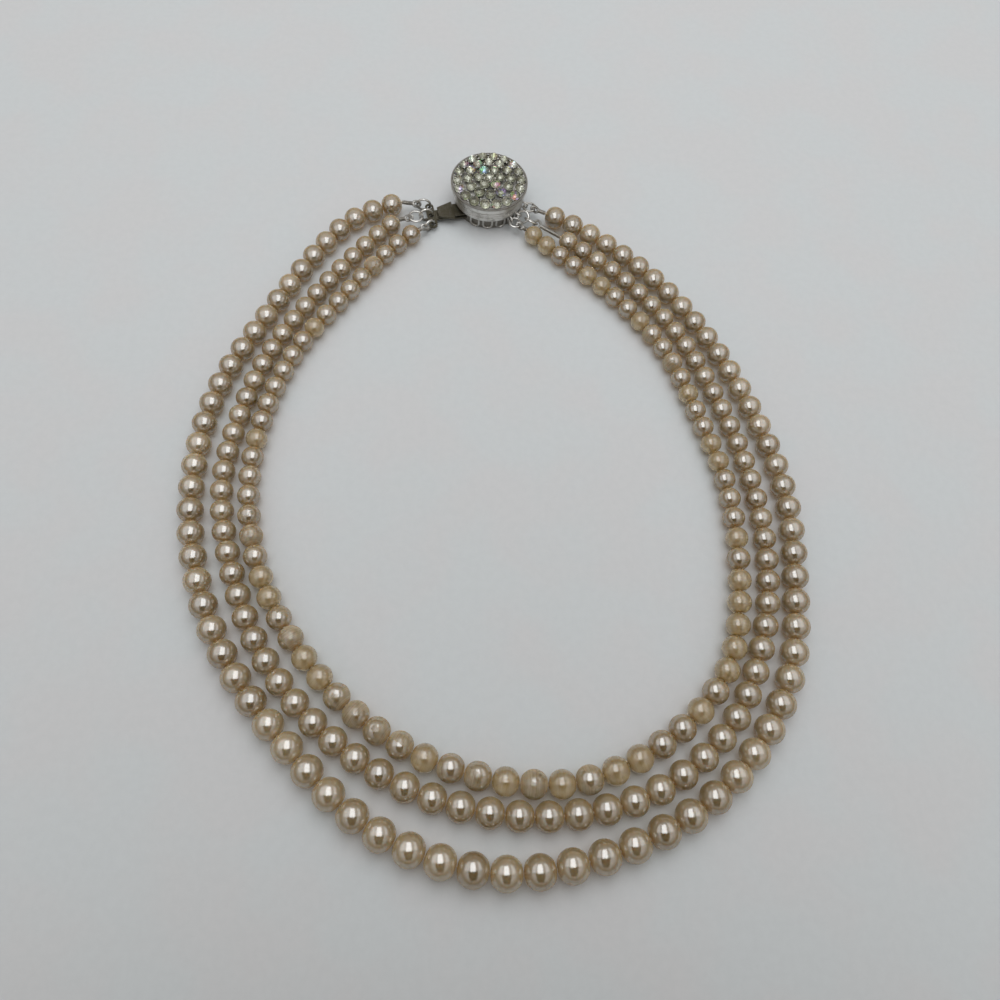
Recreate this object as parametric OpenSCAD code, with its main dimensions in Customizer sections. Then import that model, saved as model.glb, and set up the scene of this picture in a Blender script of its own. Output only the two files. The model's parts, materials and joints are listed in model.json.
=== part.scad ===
// Three graded strings of drilled beads on one round, stone-set box clasp.
// The necklace lies closed on a table: +Z up, the clasp towards +Y, the table at Z = 0.
// The origin is on the table, in the middle of the necklace. Millimetres.

/* [Outer string] */
// Bead diameter at the front
outer_front_d = 6.6; // [6.2:0.1:7.0]
// Bead diameter beside the clasp
outer_end_d = 5.65; // [5.25:0.1:5.75]

/* [Middle string] */
// Bead diameter at the front
middle_front_d = 6.0; // [5.6:0.1:6.3]
// Bead diameter beside the clasp
middle_end_d = 5.05; // [4.65:0.1:5.15]

/* [Inner string] */
// Bead diameter at the front
inner_front_d = 5.8; // [5.4:0.1:6.1]
// Bead diameter beside the clasp
inner_end_d = 4.95; // [4.55:0.1:5.05]

/* [Beads and thread] */
// Share of a string along which its beads grow and shrink again
swell = 0.6; // [0.4:0.05:0.9]
// Length of a bead along its hole, as a share of its diameter
bead_flatness = 0.94; // [0.9:0.01:0.98]
// Radius of the flatter ends of a bead, as a share of its diameter
bead_end_round = 0.75; // [0.6:0.05:1]
// Least free gap between two beads on a thread
bead_gap = 0.12; // [0.12:0.01:0.3]
// Diameter of the hole through a bead
hole_d = 1.1; // [1:0.05:1.4]
// Diameter of the thread
thread_d = 0.5; // [0.3:0.05:0.6]

/* [Clasp case] */
// Diameter of the plain band
band_d = 19.4; // [18.6:0.2:20.4]
// Height of the plain band
band_h = 4; // [3.4:0.1:5]
// How far the box under the band is set back from it
box_inset = 0.8; // [0.7:0.05:1.2]
// Height of the box and its looped gallery, from the table to the band
gallery_h = 3.2; // [3.2:0.1:4]
// Thickness of the case's walls, floor and top
case_wall = 0.6; // [0.4:0.05:0.7]
// Number of fine grooves round the band
groove_count = 4; // [0:1:6]
// Width and depth of a groove
groove_w = 0.24; // [0.1:0.02:0.3]
// Number of wire loops round the gallery
loop_count = 16; // [12:1:17]
// Half the width of a gallery loop, to the middle of its wire
loop_r = 1.2; // [0.9:0.05:1.25]
// Diameter of the gallery's wire
loop_wire_d = 0.56; // [0.4:0.02:0.7]

/* [Stones] */
// Diameter of a stone
stone_d = 2.75; // [2.4:0.05:2.8]
// Distance from one ring of stones to the next
stone_ring_step = 2.87; // [2.82:0.01:2.95]
// Number of rings of stones round the middle one
stone_rings = 3; // [1:1:3]
// How far the stones' bed rises from its edge to its middle
dome_h = 1.5; // [0.8:0.1:2.5]
// Thickness of the bed at its edge
bed_edge_h = 0.7; // [0.5:0.05:1]
// Height of a stone above its girdle
crown_h = 0.62; // [0.4:0.02:0.8]
// Width of a stone's table, as a share of the stone
table_share = 0.56; // [0.45:0.01:0.65]
// Height of a stone's girdle above the bed
girdle_h = 0.16; // [0.1:0.02:0.3]
// Width of the rim round the stones
rim_w = 0.4; // [0.3:0.05:0.6]

/* [Tongue] */
// Direction in which the tongue leaves the case
tongue_turn = 190; // [187:1:193]
// Distance of the tongue's middle line from the middle of the case
tongue_aside = 3; // [2.5:0.1:3.5]
// Thickness of the tongue's sheet
leaf_t = 0.45; // [0.35:0.05:0.5]
// Free height between the two leaves
leaf_gap = 0.55; // [0.4:0.05:0.6]
// Width of the leaves inside the case
leaf_w = 4; // [3:0.1:5]
// Distance of the fold from the middle of the case
fold_at = 3; // [2:0.1:5]
// Width of the thumb plate beside the case
thumb_w = 6; // [5:0.1:6.4]
// Width of the thumb plate at its far end
thumb_tip_w = 3.2; // [2.4:0.1:4]
// Length of the thumb plate
thumb_l = 4.2; // [3.5:0.1:4.6]
// Free play between the case and the thumb plate
thumb_play = 0.9; // [0.5:0.1:1.2]
// Free play of the tongue in its slot, on each side
slot_play = 0.2; // [0.12:0.02:0.3]
// Distance between two ring holes at the tongue's end
ring_hole_step = 3.1; // [3:0.1:3.6]
// Diameter of a ring hole
ring_hole_d = 1.4; // [1.35:0.05:1.5]
// Width of the bar that holds the ring holes
end_bar_w = 2.3; // [2.2:0.05:2.5]

/* [Rings and coils] */
// Radius of a small ring, to the middle of its wire
small_ring_r = 1.5; // [1.45:0.05:1.6]
// Radius of a large ring, to the middle of its wire
large_ring_r = 1.8; // [1.7:0.05:1.9]
// Diameter of the rings' wire
ring_wire_d = 0.6; // [0.5:0.05:0.65]
// Radius of an eyelet on the case, to the middle of its wire
eyelet_r = 0.95; // [0.9:0.05:1.1]
// Diameter of the eyelets' wire
eyelet_wire_d = 0.5; // [0.4:0.05:0.6]
// How far the eyelets' middles lie below the lower edge of the band
eyelet_drop = 0.5; // [0.2:0.05:0.7]
// Angle of the fine slit where a ring's ends meet
ring_slit = 4; // [2:1:8]
// Radius of a coil's loop, to the middle of the coiled wire
coil_loop_r = 0.95; // [0.9:0.05:1]
// Outer diameter of the coiled wire
coil_d = 0.8; // [0.7:0.05:0.9]
// Outer diameter of the coil's neck, which holds the thread
neck_d = 1.15; // [1:0.05:1.4]
// Free play between a coil's neck and the first bead
neck_play = 0.35; // [0.3:0.05:0.5]
// Free play between two linked wires
link_play = 0.12; // [0.1:0.01:0.2]

/* [Hidden] */
// Where the middle of the clasp stands
clasp_x = 2.5;
clasp_y = 80.45;

// Chosen points of the three routes, from the middle of the clasp. Each goes from the
// left end of its string round the front to its right end, seen from above.
ROUTES = [
    // Outer
    [[-24, -2.5], [-36.5, -8.5], [-46.5, -21], [-57.5, -40.5], [-67, -60.5], [-70.5, -81.5],
     [-68.5, -103], [-60.5, -124], [-46, -143.5], [-28, -160], [-4.5, -168], [21, -164.5],
     [42.5, -153.5], [57.5, -135], [63.5, -113], [65.5, -91], [61.5, -69], [53.5, -47],
     [42, -28.5], [27, -14], [15.5, -6.5]],
    // Middle
    [[-25, -8.5], [-33, -17], [-44.5, -32], [-55, -49], [-61, -66], [-64, -85.5],
     [-60.5, -105], [-52.5, -124.5], [-38.5, -141.5], [-19.5, -153.5], [3, -158.5], [25.5, -155.5],
     [44, -143], [54.5, -124], [58.5, -103.5], [57.5, -83.5], [53, -64], [46, -45.5],
     [34.5, -29], [24, -19], [19, -14.5]],
    // Inner
    [[-19.5, -12], [-27, -19], [-39, -34.5], [-49.5, -50], [-56, -68], [-58, -87],
     [-54.5, -106], [-45, -124], [-30, -140], [-10.5, -150], [12, -152.5], [32.5, -144],
     [46, -130], [51.5, -109], [52, -88.5], [48, -69.5], [42.5, -51], [32, -35],
     [21.5, -24], [14.5, -17], [10, -12]],
];
OUTER = 0;
MIDDLE = 1;
INNER = 2;
front_d = [outer_front_d, middle_front_d, inner_front_d];
end_d = [outer_end_d, middle_end_d, inner_end_d];

route_steps = 12;       // samples between two chosen points
thread_sides = 8;
bead_facets = 32;
wire_facets = 24;
sink = 0.1;             // how deep soldered wires are let into the case

band_r = band_d / 2;
box_r = band_r - box_inset;
band_top = gallery_h + band_h;
bed_z = band_top;
rim_r = stone_ring_step * stone_rings + stone_d / 2 + rim_w;
bed_r = rim_r - rim_w - link_play;
dome_r = (bed_r * bed_r + dome_h * dome_h) / (2 * dome_h);
dome_mid_z = bed_z + bed_edge_h + dome_h - dome_r;

slot_turn = tongue_turn + asin(tongue_aside / box_r);
lower_leaf_z = case_wall + 0.4;
upper_leaf_z = lower_leaf_z + leaf_t + leaf_gap;
leaves_h = 2 * leaf_t + leaf_gap;
thumb_at = band_r + thumb_play;
ring_hole_at = thumb_at + thumb_l + end_bar_w / 2 + 0.7;

wire_r = ring_wire_d / 2;
eyelet_wire_r = eyelet_wire_d / 2;
coil_r = coil_d / 2;
eyelet_z = gallery_h - eyelet_drop;
eyelet_at = band_r + eyelet_r / 2;
table_play = 0.05;
hole_lean = 0.08;       // a standing ring leans in its hole, so it passes a little inside

// How each string is tied to the clasp, a row for each end of a string: whether the
// anchor is on the tongue, the anchor's turn round the case or its row on the end bar,
// the roll of the first ring about its chain, and the ring radii from the clasp outwards.
ANCHORS = [
    // on tongue, turn or row, roll, rings
    [[true, -1, 90, [large_ring_r]], [false, -19, 0, [small_ring_r]]],
    [[true, 0, 90, [large_ring_r, large_ring_r]],
     [false, -40, 45, [small_ring_r, large_ring_r]]],
    [[true, 1, 90, [small_ring_r]], [false, -57, 0, [small_ring_r]]],
];

function unit(v) = v / norm(v);
function lift(p, z) = [p[0], p[1], z];
function spin(p, a) = [p[0] * cos(a) - p[1] * sin(a), p[0] * sin(a) + p[1] * cos(a)];
function running(v, i = 0, sum = 0) =
    i == len(v) ? [sum] : concat([sum], running(v, i + 1, sum + v[i]));
function total(v) = v * [for (x = v) 1];

// A smooth curve through the chosen points
function curve_at(p, q, r, s, t) =
    0.5 * (2 * q + (r - p) * t + (2 * p - 5 * q + 4 * r - s) * t * t
           + (3 * q - p - 3 * r + s) * t * t * t);
function before(points, i) = i > 0 ? points[i - 1] : 2 * points[0] - points[1];
function after(points, i) =
    i < len(points) ? points[i] : 2 * points[len(points) - 1] - points[len(points) - 2];
function curve(points) = concat(
    [for (i = [0:len(points) - 2], k = [0:route_steps - 1])
        curve_at(before(points, i), points[i], points[i + 1], after(points, i + 2),
                 k / route_steps)],
    [points[len(points) - 1]]);

routes = [for (route = ROUTES) curve([for (p = route) p + [clasp_x, clasp_y]])];
marks = [for (r = routes) running([for (i = [1:len(r) - 1]) norm(r[i] - r[i - 1])])];
function route_length(n) = marks[n][len(marks[n]) - 1];
x_at = [for (n = [0:2]) [for (i = [0:len(marks[n]) - 1]) [marks[n][i], routes[n][i][0]]]];
y_at = [for (n = [0:2]) [for (i = [0:len(marks[n]) - 1]) [marks[n][i], routes[n][i][1]]]];
function along(n, s) = [lookup(s, x_at[n]), lookup(s, y_at[n])];

// Beads are even beside the clasp and grow towards the front
function grade(share) =
    abs(share - 0.5) >= swell / 2 ? 0 : pow(cos(180 * (share - 0.5) / swell), 2);
function bead_d(n, share) = end_d[n] + (front_d[n] - end_d[n]) * grade(share);
function bead_pitch(n, share) = bead_d(n, share) * bead_flatness + bead_gap;
function mean_pitch(n) =
    (end_d[n] + (front_d[n] - end_d[n]) * swell / 2) * bead_flatness + bead_gap;
function bead_count(n) = floor(route_length(n) / mean_pitch(n));
function share_of(n, i) = (i + 0.5) / bead_count(n);
pitches = [for (n = [0:2]) [for (i = [0:bead_count(n) - 1]) bead_pitch(n, share_of(n, i))]];
// Where the room of each bead starts along its route: what is left over widens the gaps
starts = [for (n = [0:2]) running(pitches[n] * route_length(n) / total(pitches[n]))];

function string_end(n, right) = along(n, right ? route_length(n) : 0);
function end_point(n, right) = lift(string_end(n, right), end_d[n] / 2);

// The chain of rings from the clasp to a string's end
function anchor_turn(row) = row[0] ? tongue_turn : row[1];
function anchor_out(row) = row[0] ? ring_hole_at : eyelet_at + eyelet_r - eyelet_wire_r
    - wire_r - 2 * link_play;
function anchor_side(row) = row[0] ? tongue_aside + row[1] * ring_hole_step : 0;
function anchor(row) =
    spin([anchor_out(row), anchor_side(row)], anchor_turn(row)) + [clasp_x, clasp_y];
function first_z(row) =
    row[0] ? row[3][0] + wire_r + table_play : eyelet_z;
// How far the first ring's middle lies beyond its anchor: a standing ring passes through
// the tongue below its own middle
function first_reach(row) =
    row[0] ? sqrt(pow(row[3][0], 2) - pow(first_z(row) - lower_leaf_z - leaf_t / 2, 2)) - hole_lean
           : row[3][0];
function first_middle(n, right) =
    let (row = ANCHORS[n][right ? 1 : 0], a = anchor(row), e = string_end(n, right))
    lift(a + unit(e - a) * first_reach(row), first_z(row));
function chain_dir(n, right) = unit(end_point(n, right) - first_middle(n, right));
function ring_steps(radii, i) =
    i == 0 ? 0 : ring_steps(radii, i - 1) + radii[i - 1] + radii[i] - 2 * wire_r - link_play;
function coil_step(radii) =
    ring_steps(radii, len(radii) - 1) + radii[len(radii) - 1] + coil_loop_r
    - wire_r - coil_r - link_play;
function coil_middle(n, right) =
    first_middle(n, right)
    + chain_dir(n, right) * coil_step(ANCHORS[n][right ? 1 : 0][3]);
function neck_length(n, right) =
    norm(end_point(n, right) - coil_middle(n, right)) - coil_loop_r - neck_play;

// A bead: a ball with flatter ends, drilled through, its hole along X
module bead(d) {
    end_r = d * bead_end_round;
    rotate([0, 90, 0])
        rotate_extrude($fn = bead_facets)
            difference() {
                intersection() {
                    circle(d / 2, $fn = bead_facets * 2);
                    for_end(d, end_r, 1);
                    for_end(d, end_r, -1);
                    translate([hole_d / 2, -d])
                        square([d, 2 * d]);
                }
            }
}

// The outline that flattens one end of a bead
module for_end(d, end_r, side) {
    translate([0, side * (d * bead_flatness / 2 - end_r)])
        circle(end_r, $fn = bead_facets * 4);
}

module beads(n) {
    for (i = [0:bead_count(n) - 1]) {
        d = bead_d(n, share_of(n, i));
        from = along(n, starts[n][i]);
        to = along(n, starts[n][i + 1]);
        mid = along(n, (starts[n][i] + starts[n][i + 1]) / 2);
        translate(lift((from + to) / 4 + mid / 2, d / 2))
            rotate([0, 0, atan2(to[1] - from[1], to[0] - from[0])])
                bead(d);
    }
}

// Middle line of a thread: from one coil's neck, through every gap between two beads, to
// the other coil's neck
function thread_end(n, right) =
    end_point(n, right)
    - chain_dir(n, right) * (neck_length(n, right) + neck_play - coil_r - link_play);
function gap_z(n, i) =
    (bead_d(n, share_of(n, max(i - 1, 0)))
     + bead_d(n, share_of(n, min(i, bead_count(n) - 1)))) / 4;
function thread_points(n) = concat(
    [thread_end(n, false)],
    [for (i = [0:bead_count(n)]) lift(along(n, starts[n][i]), gap_z(n, i))],
    [thread_end(n, true)]);

// A round tube through a list of points, closed at both ends
module tube(points, d, sides) {
    n = len(points);
    dirs = [for (i = [0:n - 1]) unit(points[min(i + 1, n - 1)] - points[max(i - 1, 0)])];
    across = [for (u = dirs) unit(cross(u, [0, 0, 1]))];
    ring = [for (i = [0:n - 1], k = [0:sides - 1])
        points[i] + d / 2 * (cos(360 * k / sides) * across[i]
                             + sin(360 * k / sides) * cross(across[i], dirs[i]))];
    walls = [for (i = [0:n - 2], k = [0:sides - 1])
        let (a = i * sides + k, b = i * sides + (k + 1) % sides)
            [a, b, b + sides, a + sides]];
    start = [for (k = [sides - 1:-1:0]) k];
    end = [for (k = [0:sides - 1]) (n - 1) * sides + k];
    polyhedron(ring, concat(walls, [start, end]));
}

module thread(n) {
    tube(thread_points(n), thread_d, thread_sides);
}

// A closed or slit ring of round wire, flat, with its slit towards +Y
module wire_ring(r, wire, slit = 0) {
    rotate([0, 0, 90 + slit / 2])
        rotate_extrude(angle = 360 - slit, $fn = bead_facets * 2)
            translate([r, 0])
                circle(wire, $fn = wire_facets);
}

// Puts a piece drawn along X at a point of a chain, along the chain and rolled about it
module on_chain(n, right, step, roll) {
    u = chain_dir(n, right);
    translate(first_middle(n, right) + u * step)
        rotate([0, -asin(u[2]), atan2(u[1], u[0])])
            rotate([roll, 0, 0])
                children();
}

module chain_ring(n, right, i) {
    row = ANCHORS[n][right ? 1 : 0];
    on_chain(n, right, ring_steps(row[3], i), row[2] + 90 * i)
        wire_ring(row[3][i], wire_r, ring_slit);
}

// A coil of fine wire that loops through the last ring and holds the thread's end
module coil(n, right) {
    row = ANCHORS[n][right ? 1 : 0];
    neck_l = neck_length(n, right);
    on_chain(n, right, coil_step(row[3]), row[2] + 90 * len(row[3]))
        difference() {
            union() {
                wire_ring(coil_loop_r, coil_r);
                translate([coil_loop_r, 0, 0])
                    rotate([0, 90, 0])
                        cylinder(d = neck_d, h = neck_l, $fn = wire_facets);
            }
            translate([coil_loop_r + coil_r, 0, 0])
                rotate([0, 90, 0])
                    cylinder(d = thread_d + 2 * link_play, h = neck_l, $fn = wire_facets);
        }
}

// Outline of the case's wall, from its floor to its rim, with fine grooves in the band
module case_outline() {
    groove_step = band_h / (groove_count + 1);
    difference() {
        union() {
            square([box_r, case_wall]);
            translate([box_r - case_wall, 0])
                square([case_wall, gallery_h + case_wall]);
            translate([box_r - case_wall, gallery_h])
                square([band_r - box_r + case_wall, case_wall]);
            translate([band_r - case_wall, gallery_h])
                square([case_wall, band_h]);
            translate([0, band_top - case_wall])
                square([rim_r, case_wall]);
            translate([rim_r - rim_w, band_top - case_wall])
                square([rim_w, case_wall + bed_edge_h]);
        }
        for (i = [1:1:groove_count])
            translate([band_r, gallery_h + i * groove_step])
                circle(d = groove_w, $fn = wire_facets);
    }
}

// One loop of the gallery: a U of wire that hangs from the band
module gallery_loop() {
    wire = loop_wire_d / 2;
    top = gallery_h + sink;
    translate([box_r + wire - sink, 0, loop_r + wire])
        rotate([0, 0, 90])
            rotate([90, 0, 0]) {
                rotate([0, 0, 180])
                    rotate_extrude(angle = 180, $fn = bead_facets)
                        translate([loop_r, 0])
                            circle(wire, $fn = wire_facets);
                for (side = [-1, 1])
                    translate([side * loop_r, 0, 0])
                        rotate([-90, 0, 0])
                            cylinder(r = wire, h = top - loop_r - wire, $fn = wire_facets);
            }
}

// A loop of wire soldered to the band, square to the first ring of its chain
module eyelet(row) {
    rotate([0, 0, row[1]])
        translate([eyelet_at, 0, eyelet_z])
            rotate([row[2] + 90, 0, 0])
                wire_ring(eyelet_r, eyelet_wire_r);
}

module clasp_case() {
    color("gainsboro")
        translate([clasp_x, clasp_y, 0])
            difference() {
                union() {
                    rotate_extrude($fn = bead_facets * 3)
                        case_outline();
                    for (i = [0:loop_count - 1])
                        if (!in_slot(i))
                            rotate([0, 0, loop_turn(i)])
                                gallery_loop();
                    difference() {
                        for (string = ANCHORS)
                            eyelet(string[1]);
                        translate([0, 0, gallery_h])
                            cylinder(r = band_r - sink - eyelet_wire_r, h = band_h,
                                     $fn = bead_facets * 3);
                    }
                }
                rotate([0, 0, tongue_turn])
                    translate([box_r / 2, tongue_aside - leaf_w / 2 - slot_play,
                               lower_leaf_z - slot_play])
                        cube([box_r, leaf_w + 2 * slot_play, leaves_h + 2 * slot_play]);
            }
}

// Gallery loops stand evenly, with a gap at the tongue's slot
function loop_turn(i) = slot_turn + (i + 0.5) * 360 / loop_count;
function in_slot(i) = i == 0 || i == loop_count - 1;

// The faceted top of a round stone: a table, stars, kites and girdle facets
module crown() {
    r = stone_d / 2;
    t = r * table_share;
    m = r * (1 + table_share) / 2;
    // The kites are flat when their side corners lie on the line from table to girdle
    m_z = crown_h * (r - m * cos(22.5)) / (r - t);
    top = [for (k = [0:7]) [t * cos(45 * k), t * sin(45 * k), crown_h]];
    mids = [for (k = [0:7]) [m * cos(45 * k + 22.5), m * sin(45 * k + 22.5), m_z]];
    girdle = [for (k = [0:15]) [r * cos(22.5 * k), r * sin(22.5 * k), 0]];
    foot = [for (g = girdle) [g[0], g[1], -girdle_h - sink * 2]];
    faces = concat(
        [[for (k = [7:-1:0]) k]],
        [for (k = [0:7]) [k, (k + 1) % 8, 8 + k]],
        [for (k = [0:7]) [k, 8 + k, 16 + 2 * k]],
        [for (k = [0:7]) [k, 16 + 2 * k, 8 + (k + 7) % 8]],
        [for (k = [0:7]) [8 + k, 17 + 2 * k, 16 + 2 * k]],
        [for (k = [0:7]) [8 + k, 16 + (2 * k + 2) % 16, 17 + 2 * k]],
        [for (k = [0:15]) [16 + k, 16 + (k + 1) % 16, 32 + (k + 1) % 16, 32 + k]],
        [[for (k = [0:15]) 32 + k]]);
    polyhedron(concat(top, mids, girdle, foot), faces);
}

// All the stones on their domed bed, as one body
module stone_field() {
    color("whitesmoke")
        translate([clasp_x, clasp_y, 0]) {
            intersection() {
                translate([0, 0, dome_mid_z])
                    sphere(dome_r, $fn = bead_facets * 4);
                translate([0, 0, bed_z])
                    cylinder(r = bed_r, h = bed_edge_h + dome_h + 1, $fn = bead_facets * 3);
            }
            for (ring = [0:stone_rings], i = [0:max(6 * ring, 1) - 1]) {
                out = ring * stone_ring_step;
                lean = asin(out / dome_r);
                rotate([0, 0, i * 360 / max(6 * ring, 1)])
                    translate([0, 0, dome_mid_z])
                        rotate([0, lean, 0])
                            translate([0, 0, dome_r + girdle_h])
                                crown();
            }
        }
}

// Outline of the upper leaf: a strip that widens into the thumb plate outside the case
module upper_leaf_outline() {
    translate([fold_at, -leaf_w / 2])
        square([thumb_at + 0.5 - fold_at, leaf_w]);
    polygon([[thumb_at, -thumb_w / 2], [thumb_at + thumb_l, -thumb_tip_w / 2],
             [thumb_at + thumb_l, thumb_tip_w / 2], [thumb_at, thumb_w / 2]]);
}

// Outline of the lower leaf: a strip that ends in a bar with the ring holes
module lower_leaf_outline() {
    difference() {
        union() {
            translate([fold_at, -leaf_w / 2])
                square([thumb_at - fold_at, leaf_w]);
            translate([thumb_at - sink, -thumb_tip_w / 2])
                square([ring_hole_at - thumb_at + sink, thumb_tip_w]);
            translate([ring_hole_at - end_bar_w / 2, -ring_hole_step])
                square([end_bar_w, 2 * ring_hole_step]);
            for (side = [-1, 1])
                translate([ring_hole_at, side * ring_hole_step])
                    circle(d = end_bar_w, $fn = wire_facets);
        }
        for (row = [-1:1])
            translate([ring_hole_at, row * ring_hole_step])
                circle(d = ring_hole_d, $fn = wire_facets);
    }
}

// The spring tongue: one sheet folded back on itself inside the case
module tongue() {
    color("rosybrown")
        translate([clasp_x, clasp_y, lower_leaf_z])
            rotate([0, 0, tongue_turn])
                translate([0, tongue_aside, 0]) {
                linear_extrude(leaf_t)
                    lower_leaf_outline();
                translate([0, 0, leaf_t + leaf_gap])
                    linear_extrude(leaf_t)
                        upper_leaf_outline();
                translate([fold_at, 0, leaves_h / 2])
                    rotate([90, 0, 0])
                        difference() {
                            cylinder(d = leaves_h, h = leaf_w, center = true,
                                     $fn = wire_facets * 2);
                            cylinder(d = leaf_gap, h = leaf_w + 1, center = true,
                                     $fn = wire_facets * 2);
                            translate([0, -leaves_h, -leaf_w])
                                cube([leaves_h, 2 * leaves_h, 2 * leaf_w]);
                        }
            }
}

module outer_beads() { color("bisque") beads(OUTER); }
module middle_beads() { color("bisque") beads(MIDDLE); }
module inner_beads() { color("palegoldenrod") beads(INNER); }
module outer_thread() { color("ivory") thread(OUTER); }
module middle_thread() { color("ivory") thread(MIDDLE); }
module inner_thread() { color("ivory") thread(INNER); }
module left_ring(n, i) { color("silver") chain_ring(n, false, i); }
module right_ring(n, i) { color("silver") chain_ring(n, true, i); }
module left_coil(n) { color("lightgray") coil(n, false); }
module right_coil(n) { color("lightgray") coil(n, true); }

outer_beads();
middle_beads();
inner_beads();
outer_thread();
middle_thread();
inner_thread();
clasp_case();
stone_field();
tongue();
left_ring(OUTER, 0);  // outer_left_ring
left_ring(MIDDLE, 0);  // middle_left_ring_1
left_ring(MIDDLE, 1);  // middle_left_ring_2
left_ring(INNER, 0);  // inner_left_ring
right_ring(OUTER, 0);  // outer_right_ring
right_ring(MIDDLE, 0);  // middle_right_ring_1
right_ring(MIDDLE, 1);  // middle_right_ring_2
right_ring(INNER, 0);  // inner_right_ring
left_coil(OUTER);  // outer_left_coil
left_coil(MIDDLE);  // middle_left_coil
left_coil(INNER);  // inner_left_coil
right_coil(OUTER);  // outer_right_coil
right_coil(MIDDLE);  // middle_right_coil
right_coil(INNER);  // inner_right_coil
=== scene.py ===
"""Three strings of graded imitation pearls on a round clasp paved with clear stones.

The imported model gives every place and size. This script dresses it: coated and worn beads,
faceted stones over foil cups, fine wire coils, worn metal, and a pale table under soft light.
"""

import json
import math
import random

import bmesh
import bpy
from bpy.props import FloatProperty, FloatVectorProperty, IntProperty, PointerProperty
from bpy.types import Operator, Panel, PropertyGroup
from mathutils import Matrix, Vector

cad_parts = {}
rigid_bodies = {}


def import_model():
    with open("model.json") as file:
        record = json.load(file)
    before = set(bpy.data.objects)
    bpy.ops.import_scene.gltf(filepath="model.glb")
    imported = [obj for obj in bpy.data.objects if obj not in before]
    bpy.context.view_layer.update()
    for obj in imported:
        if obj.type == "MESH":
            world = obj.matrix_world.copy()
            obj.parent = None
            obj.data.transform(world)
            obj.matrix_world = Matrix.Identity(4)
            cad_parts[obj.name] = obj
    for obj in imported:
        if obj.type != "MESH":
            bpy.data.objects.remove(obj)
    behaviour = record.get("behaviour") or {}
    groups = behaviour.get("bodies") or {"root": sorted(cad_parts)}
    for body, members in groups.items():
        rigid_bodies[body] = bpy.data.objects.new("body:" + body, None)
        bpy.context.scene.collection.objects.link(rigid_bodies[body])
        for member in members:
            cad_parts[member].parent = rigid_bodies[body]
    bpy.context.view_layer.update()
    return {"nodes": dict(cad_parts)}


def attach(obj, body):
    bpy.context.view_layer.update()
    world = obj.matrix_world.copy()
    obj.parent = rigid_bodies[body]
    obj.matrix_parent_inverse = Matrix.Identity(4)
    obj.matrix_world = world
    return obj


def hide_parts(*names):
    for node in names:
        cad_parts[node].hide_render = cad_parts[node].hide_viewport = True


bl_info = {
    "name": "Three strand bead necklace",
    "version": (1, 0, 0),
    "blender": (4, 5, 0),
    "location": "3D View > Sidebar > Necklace",
    "description": "Builds the looks of a three strand bead necklace around its packed model",
    "category": "Object",
}

for leftover in list(bpy.data.objects):
    bpy.data.objects.remove(leftover)

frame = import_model()

MM = 0.001
HAIR = 0.001 * MM
ROOT = "root"

# The clasp's own sizes, in metres, as the model was drawn
CLASP_MIDDLE = Vector((2.5, 80.45, 0)) * MM
BAND_FOOT = 3.2 * MM
BAND_TOP = 7.2 * MM
BAND_GROOVE_STEP = 0.8 * MM
BED_EDGE = 0.7 * MM
WALL_RADIUS = 8.95 * MM
DOME_RISE = 1.5 * MM
RIM_GAP = 0.12 * MM

# The camera of the photograph: where it stands and, in degrees, how far it is turned to the
# right, looks down and is tipped
CAMERA_PLACE = Vector((-10.75, -78.40, 160.0)) * MM
CAMERA_HEADING, CAMERA_PITCH, CAMERA_ROLL = 10.0, 66.5, 7.8
CAMERA_LENS = 27.04

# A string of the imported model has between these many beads
FEWEST_BEADS, MOST_BEADS = 61, 89

# How pale each string's palest bead is, from 0 (dark coat) to 1 (light coat)
PALEST = {"outer_beads": 1.0, "middle_beads": 0.6, "inner_beads": 0.5}

# Wear of a bead that has lost its whole coat
BARE = 1.0

# Beads of the inner string, counted from its right end beside the clasp
BARE_BEADS = (1, 2, 5, 6, 9, 14, 17, 18, 22, 24, 25, 26, 27, 28, 30, 33, 34, 36, 38, 41,
              46, 47, 50, 51, 58, 65)
RUBBED_BEADS = (10, 11, 12, 21, 23, 29, 32, 35, 37, 39, 40, 42, 43, 44, 45, 48, 49, 53, 54, 70)


# ---------------------------------------------------------------- settings in the sidebar


class BeadFinish(PropertyGroup):
    light_coat: FloatVectorProperty(
        name="Light coat", description="Colour of the palest beads' pearl coat",
        default=(0.335, 0.268, 0.155), subtype="COLOR", size=3, min=0, max=1)
    dark_coat: FloatVectorProperty(
        name="Dark coat", description="Colour of the most yellowed beads' pearl coat",
        default=(0.175, 0.122, 0.052), subtype="COLOR", size=3, min=0, max=1)
    lustre: FloatProperty(
        name="Lustre", description="How far the coat mirrors its surroundings",
        default=0.05, min=0, max=1, subtype="FACTOR")
    core_colour: FloatVectorProperty(
        name="Glass core", description="Colour of the glass where the coat has come off",
        default=(0.22, 0.17, 0.09), subtype="COLOR", size=3, min=0, max=1)
    bare_colour: FloatVectorProperty(
        name="Bare glass", description="Colour of the beads that have lost their whole coat",
        default=(0.50, 0.385, 0.19), subtype="COLOR", size=3, min=0, max=1)
    tone_seed: IntProperty(
        name="Tone order", description="Which beads come out lighter or darker",
        default=11, min=0)


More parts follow.
